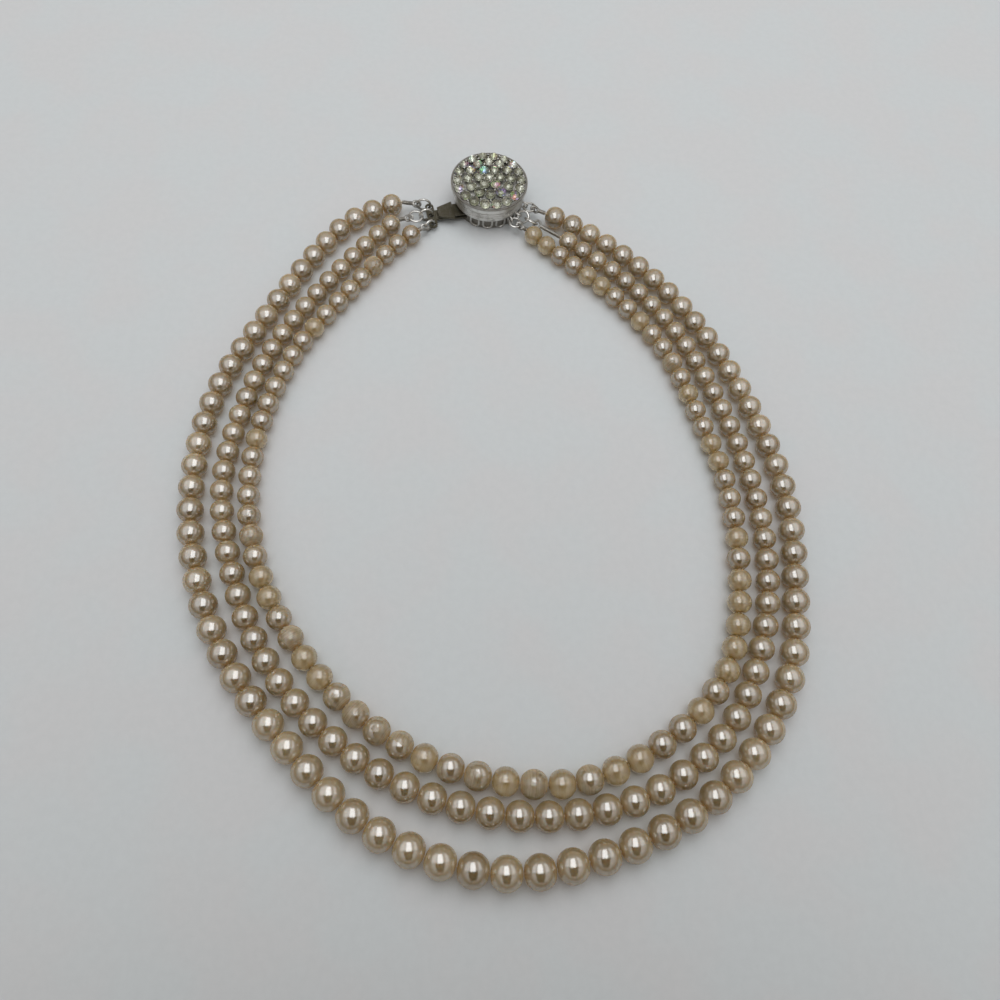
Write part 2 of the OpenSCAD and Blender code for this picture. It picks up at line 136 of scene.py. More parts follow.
class StoneCut(PropertyGroup):
    width: FloatProperty(
        name="Width", description="Width of one stone at its girdle",
        default=2.75 * MM, min=MM, unit="LENGTH", precision=5)
    step: FloatProperty(
        name="Ring step", description="Distance from one ring of stones to the next",
        default=2.87 * MM, min=MM, unit="LENGTH", precision=5)
    rings: IntProperty(
        name="Rings", description="Rings of stones round the middle one", default=3, min=1)
    crown: FloatProperty(
        name="Crown", description="Height of the faceted top above the girdle",
        default=0.62 * MM, min=0, unit="LENGTH", precision=5)
    girdle: FloatProperty(
        name="Girdle", description="Height of the stone's upright edge",
        default=0.16 * MM, min=0, unit="LENGTH", precision=5)
    pavilion: FloatProperty(
        name="Pavilion", description="Depth of the faceted point below the girdle",
        default=0.8 * MM, min=0, unit="LENGTH", precision=5)
    table: FloatProperty(
        name="Table", description="Width of the flat top as a share of the stone",
        default=0.56, min=0.1, max=0.9, subtype="FACTOR")
    lean: FloatProperty(
        name="Lean", description="Most that a stone leans in its setting, in degrees",
        default=3.5, min=0, max=10)
    set_seed: IntProperty(
        name="Setting order", description="Which way each stone is turned and leans",
        default=5, min=0)


class CoilWire(PropertyGroup):
    wire: FloatProperty(
        name="Wire", description="Thickness of the coil's fine wire",
        default=0.15 * MM, min=0.02 * MM, unit="LENGTH", precision=5)
    pitch: FloatProperty(
        name="Pitch", description="Distance from one turn of the coil to the next",
        default=0.2 * MM, min=0.05 * MM, unit="LENGTH", precision=5)
    loop_radius: FloatProperty(
        name="Loop radius", description="Radius of the coil's loop, at the middle of the coil",
        default=0.95 * MM, min=0.2 * MM, unit="LENGTH", precision=5)
    loop_width: FloatProperty(
        name="Loop thickness", description="Thickness of the coil in its loop",
        default=0.8 * MM, min=0.2 * MM, unit="LENGTH", precision=5)
    neck_width: FloatProperty(
        name="Neck thickness", description="Thickness of the coil over the thread's end",
        default=1.15 * MM, min=0.2 * MM, unit="LENGTH", precision=5)


class MetalFinish(PropertyGroup):
    plate: FloatVectorProperty(
        name="Plating", description="Colour of the case's and rings' plating",
        default=(0.66, 0.648, 0.62), subtype="COLOR", size=3, min=0, max=1)
    # This colour also paints the shade low down on the metal, round the case's rim and behind
    # its loops
    tarnish: FloatVectorProperty(
        name="Tarnish and low shade", description="Colour of the dull film in corners and grooves",
        default=(0.16, 0.145, 0.12), subtype="COLOR", size=3, min=0, max=1)
    leaf: FloatVectorProperty(
        name="Spring leaf", description="Colour of the tongue's dull metal",
        default=(0.1, 0.09, 0.062), subtype="COLOR", size=3, min=0, max=1)


class StageLook(PropertyGroup):
    table: FloatVectorProperty(
        name="Table top", description="Colour of the table under the necklace",
        default=(0.60, 0.632, 0.648), subtype="COLOR", size=3, min=0, max=1)
    sky: FloatProperty(
        name="Room light", description="Strength of the light from all round",
        default=0.72, min=0)
    key: FloatProperty(
        name="Soft light", description="Power of the large soft light, in watts",
        default=3.2, min=0, unit="POWER")
    window: FloatProperty(
        name="Window light", description="Power of the small light that the beads mirror",
        default=0.1, min=0, unit="POWER")


# ---------------------------------------------------------------- mesh helpers


def only(*objects):
    """Select these objects alone, with the first one active."""
    active = bpy.context.object
    if active is not None and active.mode != "OBJECT":
        bpy.ops.object.mode_set(mode="OBJECT")
    bpy.ops.object.select_all(action="DESELECT")
    for obj in objects:
        obj.select_set(True)
    if objects:
        bpy.context.view_layer.objects.active = objects[0]


def new_object(name, data):
    obj = bpy.data.objects.new(name, data)
    bpy.context.scene.collection.objects.link(obj)
    return obj


def edit(obj, whole=False):
    """Open a mesh in edit mode with the whole of it or nothing selected."""
    only(obj)
    bpy.ops.object.mode_set(mode="EDIT")
    bpy.ops.mesh.select_mode(type="FACE")
    bpy.ops.mesh.select_all(action="SELECT" if whole else "DESELECT")


def pick_faces(obj, test):
    """Select the faces whose centre and normal pass the test."""
    shape = bmesh.from_edit_mesh(obj.data)
    for face in shape.faces:
        face.select_set(test(face.calc_center_median(), face.normal))
    bmesh.update_edit_mesh(obj.data)


def close_edit(obj, angle=None):
    """Leave edit mode, with edges up to an angle shaded smooth."""
    bpy.ops.object.mode_set(mode="OBJECT")
    only(obj)
    if angle is None:
        bpy.ops.object.shade_flat()
    else:
        bpy.ops.object.shade_smooth_by_angle(angle=math.radians(angle))


def started(name, whole=False):
    """Name the primitive that was just added and open it in edit mode."""
    obj = bpy.context.object
    obj.name = obj.data.name = name
    edit(obj, whole)
    return obj


def repeat(pattern, places, name):
    """Copy a pattern to each place, each copy with its own mesh, and join the copies."""
    copies = []
    for place in places:
        copy = new_object(name, pattern.data.copy())
        copy.data.transform(place)
        copies.append(copy)
    bpy.data.objects.remove(pattern)
    only(*copies)
    bpy.ops.object.join()
    joined = bpy.context.object
    joined.name = joined.data.name = name
    return joined


def dress(obj, *materials):
    """Give a piece these materials and no other."""
    while len(obj.material_slots) > len(materials):
        only(obj)
        bpy.ops.object.material_slot_remove()
    for index, material in enumerate(materials):
        if index < len(obj.material_slots):
            obj.material_slots[index].link = "OBJECT"
            obj.material_slots[index].material = material
        else:
            obj.data.materials.append(material)


def belongs(obj, slot, *nodes):
    """Ride on the one body and stand for these nodes. The slot is not used."""
    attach(obj, ROOT)
    if nodes:
        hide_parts(*nodes)


# ---------------------------------------------------------------- node helpers


class Sheet:
    """One tree of shader nodes, with short ways to add and join them."""

    def __init__(self, tree):
        self.tree = tree

    def add(self, kind, inputs=None, **settings):
        made = self.tree.nodes.new("ShaderNode" + kind)
        for key, value in settings.items():
            setattr(made, key, value)
        for key, value in (inputs or {}).items():
            self.put(value, made.inputs[key])
        return made

    def put(self, value, socket):
        if isinstance(value, bpy.types.NodeSocket):
            self.tree.links.new(value, socket)
        else:
            socket.default_value = rgba(value) if socket.type == "RGBA" else value

    def math(self, operation, first, second, clamp=False):
        return self.add("Math", {0: first, 1: second}, operation=operation,
                        use_clamp=clamp).outputs[0]

    def plus(self, first, second, clamp=False):
        return self.math("ADD", first, second, clamp)

    def minus(self, first, second):
        return self.math("SUBTRACT", first, second)

    def times(self, first, second, clamp=False):
        return self.math("MULTIPLY", first, second, clamp)

    def most(self, first, second):
        return self.math("MAXIMUM", first, second)

    def mix(self, share, first, second):
        """Blend two numbers."""
        made = self.add("Mix", data_type="FLOAT")
        for value, index in ((share, 0), (first, 2), (second, 3)):
            self.put(value, made.inputs[index])
        return made.outputs[0]

    def tint(self, share, first, second):
        """Blend two colours."""
        made = self.add("Mix", data_type="RGBA")
        for value, index in ((share, 0), (first, 6), (second, 7)):
            self.put(value, made.inputs[index])
        return made.outputs[2]

    def span(self, value, low, high, to_low=0.0, to_high=1.0, smooth=True):
        """Spread a range of values over another range."""
        made = self.add("MapRange", interpolation_type="SMOOTHSTEP" if smooth else "LINEAR")
        for key, number in (("Value", value), ("From Min", low), ("From Max", high),
                            ("To Min", to_low), ("To Max", to_high)):
            self.put(number, made.inputs[key])
        return made.outputs["Result"]

    def noise(self, vector, scale, detail=2.0, roughness=0.5):
        return self.add("TexNoise", {"Vector": vector, "Scale": scale, "Detail": detail,
                                     "Roughness": roughness}).outputs["Fac"]

    def attribute(self, name):
        return self.add("Attribute", attribute_name=name).outputs["Fac"]

    def upward(self, vector):
        return self.add("SeparateXYZ", {"Vector": vector}).outputs["Z"]

    def group(self, tree, inputs):
        made = self.tree.nodes.new("ShaderNodeGroup")
        made.node_tree = tree
        for key, value in inputs.items():
            self.put(value, made.inputs[key])
        return made.outputs


def rgba(colour):
    return (*colour, 1.0) if len(colour) == 3 else tuple(colour)


def shared_group(name, inputs, outputs, build):
    """Make a node group once. build gets the sheet and its inputs, and returns its outputs."""
    if name in bpy.data.node_groups:
        return bpy.data.node_groups[name]
    tree = bpy.data.node_groups.new(name, "ShaderNodeTree")
    for key, kind, value in inputs:
        socket = tree.interface.new_socket(
            name=key, in_out="INPUT", socket_type="NodeSocket" + kind)
        if value is not None:
            socket.default_value = rgba(value) if kind == "Color" else value
    for key, kind in outputs:
        tree.interface.new_socket(name=key, in_out="OUTPUT", socket_type="NodeSocket" + kind)
    sheet = Sheet(tree)
    given = tree.nodes.new("NodeGroupInput").outputs
    result = tree.nodes.new("NodeGroupOutput")
    for socket, value in zip(result.inputs, build(sheet, given)):
        sheet.put(value, socket)
    return tree


def scratches_group():
    """Short fine scratches in two directions."""

    def build(sheet, given):
        marks = None
        for turn, stretch in ((0.5, (1.0, 26.0, 9.0)), (-1.1, (22.0, 1.0, 8.0))):
            turned = sheet.add("Mapping", {"Vector": given["Vector"],
                                           "Rotation": (0.3, 0.2, turn),
                                           "Scale": stretch}).outputs[0]
            field = sheet.noise(turned, given["Scale"], 1.0)
            line = sheet.span(field, 0.62, 0.72)
            marks = line if marks is None else sheet.most(marks, line)
        mask = sheet.times(marks, given["Amount"], clamp=True)
        return mask, sheet.minus(1.0, mask)

    return shared_group(
        "Fine scratches",
        [("Vector", "Vector", None), ("Scale", "Float", 300.0), ("Amount", "Float", 0.5)],
        [("Mask", "Float"), ("Height", "Float")], build)


def tarnish_and_low_shade_group():
    """Painted shade that darkens low-down parts, and a dull tarnish film in cloudy patches."""

    def build(sheet, given):
        # Painted shade: parts grow darker from the first height down to the second
        low = sheet.span(sheet.upward(given["Vector"]), given["Unshaded above"],
                         given["Fully shaded below"])
        cloud = sheet.noise(given["Vector"], given["Scale"], 4.0, 0.6)
        patch = sheet.span(cloud, 0.42, 0.68)
        both = sheet.plus(sheet.times(low, 0.75), sheet.times(patch, given["Patches"]))
        return (sheet.times(both, given["Amount"], clamp=True),)

    return shared_group(
        "Tarnish and low shade",
        [("Vector", "Vector", None), ("Scale", "Float", 600.0), ("Amount", "Float", 1.0),
         ("Patches", "Float", 0.5), ("Unshaded above", "Float", 0.0032),
         ("Fully shaded below", "Float", 0.0)],
        [("Mask", "Float")], build)


def pearl_skin_group():
    """The coat's own unevenness: its tone from bead to bead, clouds, pinholes and skin."""

    def build(sheet, given):
        cloud = sheet.noise(given["Vector"], 210.0, 2.0)
        mottle = sheet.noise(given["Vector"], 1500.0, 3.0, 0.6)
        share = sheet.plus(sheet.times(given["Tone"], 0.7),
                           sheet.span(cloud, 0.3, 0.7, 0.0, 0.3))
        share = sheet.plus(share, sheet.span(mottle, 0.3, 0.7, -0.04, 0.04), clamp=True)
        colour = sheet.tint(share, given["Dark"], given["Light"])
        cells = sheet.add("TexVoronoi", {"Vector": given["Vector"], "Scale": 330.0})
        rare = sheet.math("GREATER_THAN", sheet.add(
            "SeparateColor", {"Color": cells.outputs["Color"]}).outputs[0], 0.93)
        hole = sheet.span(cells.outputs["Distance"], 0.13, 0.06)
        pinhole = sheet.times(rare, hole)
        fine = sheet.noise(given["Vector"], 5200.0, 2.0)
        height = sheet.minus(sheet.times(fine, 0.012), pinhole)
        rough = sheet.span(mottle, 0.35, 0.75, 0.0, 0.05)
        return colour, rough, pinhole, height

    return shared_group(
        "Pearl skin",
        [("Vector", "Vector", None), ("Tone", "Float", 0.5), ("Light", "Color", (1, 1, 1)),
         ("Dark", "Color", (0, 0, 0))],
        [("Colour", "Color"), ("Roughness", "Float"), ("Pinhole", "Float"),
         ("Height", "Float")], build)


def glass_core_group():
    """Wound glass: fine rings round the drill hole, and cloudy streaks."""

    def build(sheet, given):
        along = sheet.times(given["Along"], 5.0)
        wobble = sheet.noise(given["Vector"], 500.0, 2.0)
        rings = sheet.add("TexNoise", {"W": sheet.plus(along, wobble), "Scale": 1.0,
                                       "Detail": 3.0}, noise_dimensions="1D").outputs["Fac"]
        streak = sheet.span(rings, 0.35, 0.65)
        cloud = sheet.noise(given["Vector"], 420.0, 3.0)
        share = sheet.plus(sheet.times(streak, 0.55),
                           sheet.span(cloud, 0.35, 0.65, 0.0, 0.45))
        pale = sheet.tint(0.2, given["Colour"], (1.0, 0.95, 0.82))
        return sheet.tint(share, given["Colour"], pale), streak

    return shared_group(
        "Glass core",
        [("Vector", "Vector", None), ("Along", "Float", 0.0), ("Colour", "Color", (1, 1, 1))],
        [("Colour", "Color"), ("Height", "Float")], build)


def new_material(name, **constants):
    """A material with one Principled shader and these constants on its own sockets."""
    material = bpy.data.materials.new(name)
    material.use_nodes = True
    # Only the beads carry a painted glow, too faint to be worth sampling as lamps
    material.cycles.emission_sampling = "NONE"
    sheet = Sheet(material.node_tree)
    shader = material.node_tree.nodes["Principled BSDF"]
    for key, value in constants.items():
        sheet.put(value, shader.inputs[key.replace("_", " ").title().replace("Ior", "IOR")])
    place = sheet.add("TexCoord").outputs["Object"]
    return material, sheet, shader.inputs, place


def bumped(sheet, sockets, height, depth, strength=1.0):
    bump = sheet.add("Bump", {"Height": height, "Distance": depth, "Strength": strength})
    sheet.put(bump.outputs["Normal"], sockets["Normal"])


# ---------------------------------------------------------------- materials


def painted_glow(sheet, sockets, glow_colour):
    """A faint painted glow, given off by a bead's underside and near where it meets the next
    one, standing in for light that passes through the bead.
    """
    near_next = sheet.span(sheet.attribute("bead_end"), 0.65, 1.0, 0.0, 0.24)
    below = sheet.span(sheet.upward(sheet.add("TexCoord").outputs["Normal"]), -0.15, -0.8)
    sheet.put(sheet.tint(sheet.most(near_next, below), (0.0, 0.0, 0.0), glow_colour),
              sockets["Emission Color"])


def pearl_coat_material():
    look = bpy.context.scene.necklace_beads
    material, sheet, sockets, place = new_material(
        "pearl_coat", coat_roughness=0.14, coat_ior=4.0, specular_ior_level=0.0,
        specular_tint=(1.0, 0.78, 0.5), subsurface_weight=1.0,
        subsurface_radius=(1.0, 0.6, 0.3), subsurface_scale=4.0 * MM,
        emission_strength=1.0)
    skin = sheet.group(pearl_skin_group(), {
        "Vector": place, "Tone": sheet.attribute("bead_tone"),
        "Light": tuple(look.light_coat), "Dark": tuple(look.dark_coat)})
    core = sheet.group(glass_core_group(), {
        "Vector": place, "Along": sheet.attribute("bead_along"),
        "Colour": tuple(look.core_colour)})
    wear = sheet.span(sheet.attribute("bead_wear"), 0.0, 1.0, -0.1, 1.1, smooth=False)
    patch = sheet.noise(place, 200.0, 3.0, 0.55)
    rubbed = sheet.span(sheet.minus(wear, patch), -0.02, 0.03)
    colour = sheet.tint(rubbed, skin["Colour"], core["Colour"])
    colour = sheet.tint(sheet.times(skin["Pinhole"], 0.7), colour, (0.10, 0.075, 0.05))
    sheet.put(colour, sockets["Base Color"])
    sheet.put(sheet.mix(rubbed, look.lustre, 0.0), sockets["Metallic"])
    rough = sheet.plus(skin["Roughness"], 0.17)
    sheet.put(sheet.mix(rubbed, rough, 0.3), sockets["Roughness"])
    sheet.put(sheet.mix(rubbed, 0.74, 0.22), sockets["Coat Weight"])
    height = sheet.minus(skin["Height"], sheet.times(rubbed, 0.8))
    bumped(sheet, sockets, height, 0.03 * MM)
    # Painted glow: faint amber light given off by the bead's underside and its ends
    painted_glow(sheet, sockets, (0.19, 0.11, 0.04))
    return material


def bare_glass_material():
    look = bpy.context.scene.necklace_beads
    material, sheet, sockets, place = new_material(
        "bare_glass_core", ior=1.6, transmission_weight=0.6, coat_weight=0.8, coat_ior=1.9,
        coat_roughness=0.05, emission_strength=1.0, subsurface_weight=1.0,
        subsurface_radius=(1.0, 0.75, 0.45), subsurface_scale=2.0 * MM)
    core = sheet.group(glass_core_group(), {
        "Vector": place, "Along": sheet.attribute("bead_along"),
        "Colour": tuple(look.bare_colour)})
    fleck = sheet.span(sheet.noise(place, 900.0, 4.0, 0.65), 0.6, 0.7)
    sheet.put(sheet.tint(sheet.times(fleck, 0.5), core["Colour"], tuple(look.light_coat)),
              sockets["Base Color"])
    worn = sheet.noise(place, 300.0, 2.0)
    sheet.put(sheet.span(worn, 0.35, 0.65, 0.02, 0.14), sockets["Roughness"])
    bumped(sheet, sockets, core["Height"], 0.008 * MM)
    # Painted glow: faint amber light given off by the bead's underside and its ends
    painted_glow(sheet, sockets, (0.07, 0.045, 0.016))
    return material


def thread_material():
    material, sheet, sockets, place = new_material("thread_silk", roughness=0.75)
    fibre = sheet.noise(place, 4200.0, 3.0)
    colour = sheet.tint(sheet.span(fibre, 0.3, 0.7), (0.42, 0.36, 0.27), (0.66, 0.60, 0.50))
    sheet.put(colour, sockets["Base Color"])
    bumped(sheet, sockets, fibre, 0.03 * MM)
    return material


def case_tarnish_and_shade(sheet, place):
    """Tarnish in the band's four grooves, and painted shade round the rim and on the wall
    behind the loops.
    """
    height = sheet.upward(place)
    groove = sheet.math("DIVIDE", sheet.minus(height, BAND_FOOT), BAND_GROOVE_STEP)
    line = sheet.span(sheet.math("PINGPONG", groove, 0.5), 0.16, 0.08)
    on_band = sheet.times(sheet.math("GREATER_THAN", groove, 0.5),
                          sheet.math("LESS_THAN", groove, 4.5))
    grooves = sheet.times(sheet.times(line, on_band), 0.5)
    from_middle = sheet.add("VectorMath", {0: place, 1: tuple(CLASP_MIDDLE)},
                            operation="SUBTRACT").outputs[0]
    level = sheet.add("VectorMath", {0: from_middle, 1: (1, 1, 0)},
                      operation="MULTIPLY").outputs[0]
    out = sheet.add("VectorMath", {0: level}, operation="LENGTH").outputs["Value"]
    # Painted shade on the recessed wall behind the loops
    wall = sheet.times(sheet.math("LESS_THAN", out, WALL_RADIUS),
                       sheet.math("LESS_THAN", height, BAND_FOOT))
    # Painted shade round the rim, where the stones shade it
    rim = sheet.span(height, BAND_TOP + 0.1 * MM, BAND_TOP + 0.5 * MM, 0.0, 0.75)
    return sheet.most(grooves, sheet.most(rim, sheet.times(wall, 0.85)))


def plated_metal(name, rough, unshaded_above, fully_shaded_below, patches, scratch_scale, base=None,
                 grooved_and_shaded=False):
    """Worn plating: scratches, tarnish in cloudy patches and in the band's grooves, and
    painted shade low down and, on the case, round the rim and behind the loops.
    """
    look = bpy.context.scene.necklace_metal
    material, sheet, sockets, place = new_material(name, metallic=1.0)
    scratch = sheet.group(scratches_group(), {
        "Vector": place, "Scale": scratch_scale, "Amount": 0.6})
    # The film is tarnish in patches together with painted shade low down
    film = sheet.group(tarnish_and_low_shade_group(), {
        "Vector": place, "Scale": 520.0, "Amount": 1.0, "Patches": patches,
        "Unshaded above": unshaded_above, "Fully shaded below": fully_shaded_below})["Mask"]
    # On the case, painted shade round the rim and behind the loops joins the grooves' tarnish
    if grooved_and_shaded:
        film = sheet.most(film, case_tarnish_and_shade(sheet, place))
    clean = look.plate if base is None else base
    colour = sheet.tint(film, tuple(clean), tuple(look.tarnish))
    colour = sheet.tint(sheet.times(scratch["Mask"], 0.25), colour, (0.86, 0.85, 0.82))
    sheet.put(colour, sockets["Base Color"])
    scratched = sheet.plus(rough, sheet.times(scratch["Mask"], 0.12))
    sheet.put(sheet.mix(film, scratched, rough + 0.27), sockets["Roughness"])
    grain_field = sheet.noise(place, 3600.0, 2.0)
    height = sheet.plus(scratch["Height"], sheet.times(grain_field, 0.4))
    bumped(sheet, sockets, height, 0.012 * MM)
    return material


def stone_glass_material():
    material, sheet, sockets, place = new_material(
        "stone_glass", transmission_weight=1.0, ior=1.56)
    haze = sheet.noise(place, 620.0, 2.0)
    sheet.put(sheet.tint(sheet.span(haze, 0.34, 0.64), (0.86, 0.88, 0.82), (0.97, 0.98, 0.95)),
              sockets["Base Color"])
    sheet.put(sheet.span(haze, 0.3, 0.75, 0.0, 0.05), sockets["Roughness"])
    return material


def stone_foil_material():
    """Mirror foil behind each stone, aged in parts, with a few coloured sparks."""
    material, sheet, sockets, place = new_material("stone_foil", metallic=1.0)
    cells = sheet.add("TexVoronoi", {"Vector": place, "Scale": 900.0})
    parts = sheet.add("SeparateColor", {"Color": cells.outputs["Color"]},
                      mode="HSV").outputs
    hue = sheet.add("CombineColor", {0: parts[0], 1: 0.62, 2: 1.0}, mode="HSV").outputs[0]
    rare = sheet.span(sheet.noise(place, 260.0, 1.0), 0.56, 0.66)
    aged = sheet.span(sheet.noise(place, 330.0, 3.0), 0.34, 0.58)
    plain = sheet.tint(aged, (0.68, 0.68, 0.61), (0.36, 0.36, 0.29))
    sheet.put(sheet.tint(sheet.times(rare, 0.7), plain, hue), sockets["Base Color"])
    sheet.put(sheet.mix(aged, 0.05, 0.18), sockets["Roughness"])
    bumped(sheet, sockets, sheet.noise(place, 1100.0, 1.0), 0.1 * MM)
    return material


# ---------------------------------------------------------------- beads


def copy_of_node(node, name):
    """A merged copy of a node's mesh, as a new piece."""
    piece = new_object(name, frame["nodes"][node].data.copy())
    piece.data.name = name
    edit(piece, whole=True)
    bpy.ops.mesh.remove_doubles(threshold=2 * HAIR)
    bpy.ops.mesh.customdata_custom_splitnormals_clear()
    close_edit(piece, 40)
    return piece


def bead_of_each_vertex(mesh):
    """Number the separate shells of a mesh, one number for each vertex."""
    leader = list(range(len(mesh.vertices)))

    def find(index):
        while leader[index] != index:
            leader[index] = leader[leader[index]]
            index = leader[index]
        return index

    for edge in mesh.edges:
        first, second = (find(v) for v in edge.vertices)
        if first != second:
            leader[first] = second
    numbers = {}
    return [numbers.setdefault(find(i), len(numbers)) for i in range(len(leader))]


def bead_string(node, name, slot, wear_of_bead, *materials):
    """One string of beads, each with its tone, wear and drill direction kept on it."""
    piece = copy_of_node(node, name)
    mesh = piece.data
    bead = bead_of_each_vertex(mesh)
    count = max(bead) + 1
    if not FEWEST_BEADS <= count <= MOST_BEADS:
        raise RuntimeError(f"{node} falls into {count} beads")
    middles = [Vector() for _ in range(count)]
    sizes = [0] * count
    for vertex, number in zip(mesh.vertices, bead):
        middles[number] += vertex.co
        sizes[number] += 1
    middles = [m / n for m, n in zip(middles, sizes)]
    order = sorted(range(count),
                   key=lambda n: math.atan2(middles[n].x, middles[n].y) % (2 * math.pi))
    place = {number: at for at, number in enumerate(order)}
    chance = random.Random(bpy.context.scene.necklace_beads.tone_seed + count)
    tones = [chance.uniform(0.1, PALEST[node]) for _ in order]
    wear = [wear_of_bead(at + 1, chance) for at in range(count)]
    axes = []
    for at in range(count):
        before, after = order[max(at - 1, 0)], order[min(at + 1, count - 1)]
        axes.append((middles[after] - middles[before]).normalized())
    along = [(vertex.co - middles[number]).dot(axes[place[number]])
             for vertex, number in zip(mesh.vertices, bead)]
    reach = [0.0] * count
    for offset, number in zip(along, bead):
        reach[number] = max(reach[number], abs(offset))
    values = {
        "bead_tone": [tones[place[number]] for number in bead],
        "bead_wear": [wear[place[number]] for number in bead],
        "bead_along": [offset / MM for offset in along],
        "bead_end": [abs(offset) / reach[number] for offset, number in zip(along, bead)],
    }
    for key, numbers in values.items():
        mesh.attributes.new(key, "FLOAT", "POINT").data.foreach_set("value", numbers)
    mesh.materials.clear()
    dress(piece, *materials)
    for face in mesh.polygons:
        at = place[bead[face.vertices[0]]]
        face.material_index = len(materials) - 1 if wear[at] == BARE else 0
    belongs(piece, slot, node)


def worn_inner_bead(at, chance):
    """Wear of an inner bead: bare, rubbed in patches, or hardly touched."""
    if at in BARE_BEADS:
        return BARE
    if at in RUBBED_BEADS:
        return chance.uniform(0.42, 0.56)
    return chance.uniform(0.0, 0.22)


def scuffed_bead(_at, chance):
    """Wear of a sound bead that has, now and then, a small rubbed spot."""
    return chance.choice((0.0, 0.0, 0.0, 0.2, 0.3))


# ---------------------------------------------------------------- stones


def cut(plane_point, plane_normal):
    """Grind one flat facet, as a stone cutter does."""
    bpy.ops.mesh.select_all(action="SELECT")
    bpy.ops.mesh.bisect(plane_co=plane_point, plane_no=plane_normal, use_fill=True,
                        clear_outer=True, threshold=1e-8)


def around(radius, turn, height):
    """A point at a radius, a turn in degrees and a height."""
    turn = math.radians(turn)
    return Vector((radius * math.cos(turn), radius * math.sin(turn), height))


def facet_through(*corners):
    """The point and outward normal of the plane through three corners."""
    first, second, third = corners
    normal = (second - first).cross(third - first).normalized()
    middle = (first + second + third) / 3
    axis_point = Vector((0, 0, middle.z * 0.4))
    if normal.dot(middle - axis_point) < 0:
        normal = -normal
    return first, normal


def cut_stone(size):
    """A brilliant, ground facet by facet from a 16-sided blank. Its girdle's top is at 0."""
    radius, girdle = size.width / 2, -size.girdle
    table = radius * size.table
    shoulder = (radius + table) / 2
    half = math.cos(math.radians(22.5))
    shoulder_z = size.crown * (radius - shoulder * half) / (radius - table)
    depth = size.crown + size.girdle + size.pavilion
    bpy.ops.mesh.primitive_cylinder_add(
        vertices=16, radius=radius, depth=depth, location=(0, 0, size.crown - depth / 2),
        rotation=(0, 0, 0))
    bpy.ops.object.transform_apply(location=True, rotation=True, scale=True)
    stone = started("stone_blank")
    for k in range(8):
        turn = 45 * k
        cut(*facet_through(around(radius, turn, 0), around(table, turn, size.crown),
                           around(shoulder, turn + 22.5, shoulder_z)))
        cut(*facet_through(around(table, turn, size.crown),
                           around(table, turn + 45, size.crown),
                           around(shoulder, turn + 22.5, shoulder_z)))
        cut(around(radius, turn, girdle),
            (around(size.pavilion, turn, 0) - Vector((0, 0, radius))).normalized())
    for k in range(8):
        for side in (0, 1):
            low, high = 45 * k + 22.5 * side, 45 * k + 22.5 * (side + 1)
            cut(*facet_through(around(radius, low, 0), around(radius, high, 0),
                               around(shoulder, 45 * k + 22.5, shoulder_z)))
            ridge = around(radius * 0.3, 45 * k + 22.5,
                           girdle - size.pavilion + size.pavilion * 0.3 * half)
            cut(*facet_through(around(radius, low, girdle), around(radius, high, girdle),
                               ridge))
    close_edit(stone)
    return stone


def back_with_foil(stone, size, glass, foil):
    """Clear glass above the girdle, foil on the facets below it."""
    dress(stone, glass, foil)
    for face in stone.data.polygons:
        face.material_index = int(face.center.z < -size.girdle - HAIR)


def foil_cup(stone, size):
    """A thin cup that holds the stone's lower half."""
    cup = new_object("foil_blank", stone.data.copy())
    edit(cup)
    pick_faces(cup, lambda middle, normal: middle.z > -size.girdle - HAIR)
    bpy.ops.mesh.delete(type="FACE")
    bpy.ops.mesh.select_all(action="SELECT")
    bpy.ops.transform.resize(value=(1.02, 1.02, 1.03), center_override=(0, 0, 0))
    bpy.ops.transform.translate(value=(0, 0, -0.012 * MM))
    close_edit(cup)
    shell = cup.modifiers.new("thickness", "SOLIDIFY")
    shell.thickness = 0.04 * MM
    shell.offset = 1.0
    bpy.ops.object.modifier_apply(modifier=shell.name)
    return cup


def bed_radius(size):
    return size.step * size.rings + size.width / 2 - RIM_GAP


def dome_place(size, out, turn, lift=0.0):
    """Where something sits on the dome: leaning outward, at its distance from the middle."""
    dome_radius = (bed_radius(size) ** 2 + DOME_RISE ** 2) / (2 * DOME_RISE)
    dome_middle = BAND_TOP + BED_EDGE + DOME_RISE - dome_radius
    lean = math.asin(out / dome_radius)
    return (Matrix.Translation(CLASP_MIDDLE + Vector((0, 0, dome_middle)))
            @ Matrix.Rotation(math.radians(turn), 4, "Z") @ Matrix.Rotation(lean, 4, "Y")
            @ Matrix.Translation((0, 0, dome_radius + size.girdle + lift)))


def stone_places(size):
    """Each stone's seat. They were set by hand, so each is turned and leans a little."""
    places = [dome_place(size, 0, 0)]
    hand = random.Random(size.set_seed)
    for ring in range(1, size.rings + 1):
        for k in range(6 * ring):
            turned = Matrix.Rotation(hand.uniform(0, math.pi / 4), 4, "Z")
            leaning = Matrix.Rotation(math.radians(hand.uniform(-size.lean, size.lean)), 4,
                                      (hand.uniform(-1, 1), hand.uniform(-1, 1), 0))
            places.append(dome_place(size, ring * size.step, k * 60 / ring)
                          @ leaning @ turned)
    return places


def grain_places(size):
    """The gaps between three stones, and those along the outer ring."""
    places = []
    for ring in range(1, size.rings + 1):
        half = 30 / ring
        chord = ring * size.step * math.cos(math.radians(half))
        for k in range(6 * ring):
            turn = k * 60 / ring + half
            places.append(dome_place(size, chord - 0.29 * size.step, turn, 0.06 * MM))
            if ring == size.rings:
                places.append(dome_place(size, chord + 0.3 * size.step, turn, -0.1 * MM))
    return places


